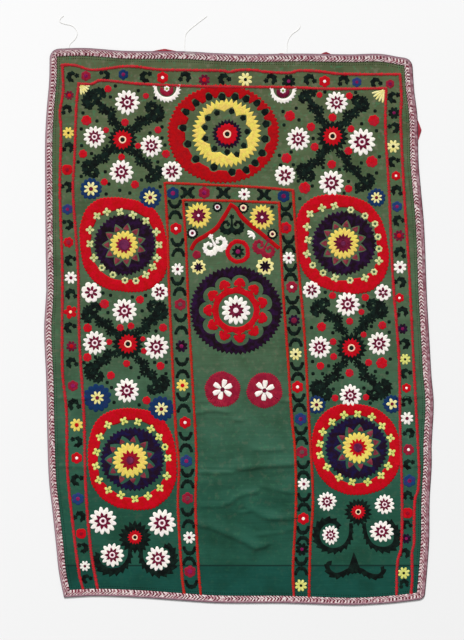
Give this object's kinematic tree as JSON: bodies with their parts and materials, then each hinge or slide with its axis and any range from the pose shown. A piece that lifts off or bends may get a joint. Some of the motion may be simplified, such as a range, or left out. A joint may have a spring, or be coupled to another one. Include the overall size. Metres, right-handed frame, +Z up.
{
  "type": "suzani embroidered textile",
  "caption": "Lined satin bridal sheet, edged with zigzag tape, lying flat, with embroidered rosettes, vines and a gabled middle panel.",
  "frame": {"origin": "middle of the sheet's outline, on the surface that it lies on", "axes": "+X to the sheet's right, +Y to its head, +Z up out of its face"},
  "size_m": [1.5378, 2.3274, 0.0084],
  "materials": {
    "lining_cotton": "matt plain-weave cotton, dark red",
    "green_satin": "soft satin, olive green shading to blue green",
    "teal_satin": "soft satin, deep blue green",
    "zigzag_tape": "woven tape, mauve edge with a dark red zigzag on pale pink",
    "loose_thread": "pale cotton thread",
    "embroidery_red": "silk couching, crimson and vermilion",
    "embroidery_dark": "silk couching, black and dark green",
    "embroidery_aubergine": "silk couching, dark purple and maroon",
    "embroidery_white": "silk couching, off-white",
    "embroidery_yellow": "silk couching, straw yellow",
    "embroidery_blue": "silk couching, navy and blue",
    "embroidery_magenta": "silk couching, wine and magenta"
  },
  "bodies": {
    "root": {"lining": "lining_cotton", "ground_cloth": "green_satin", "ground_strip": "teal_satin", "tape_top": "zigzag_tape", "tape_right": "zigzag_tape", "tape_bottom": "zigzag_tape", "tape_left": "zigzag_tape", "thread_left": "loose_thread", "thread_middle": "loose_thread", "thread_right": "loose_thread"}
  },
  "joints": []
}
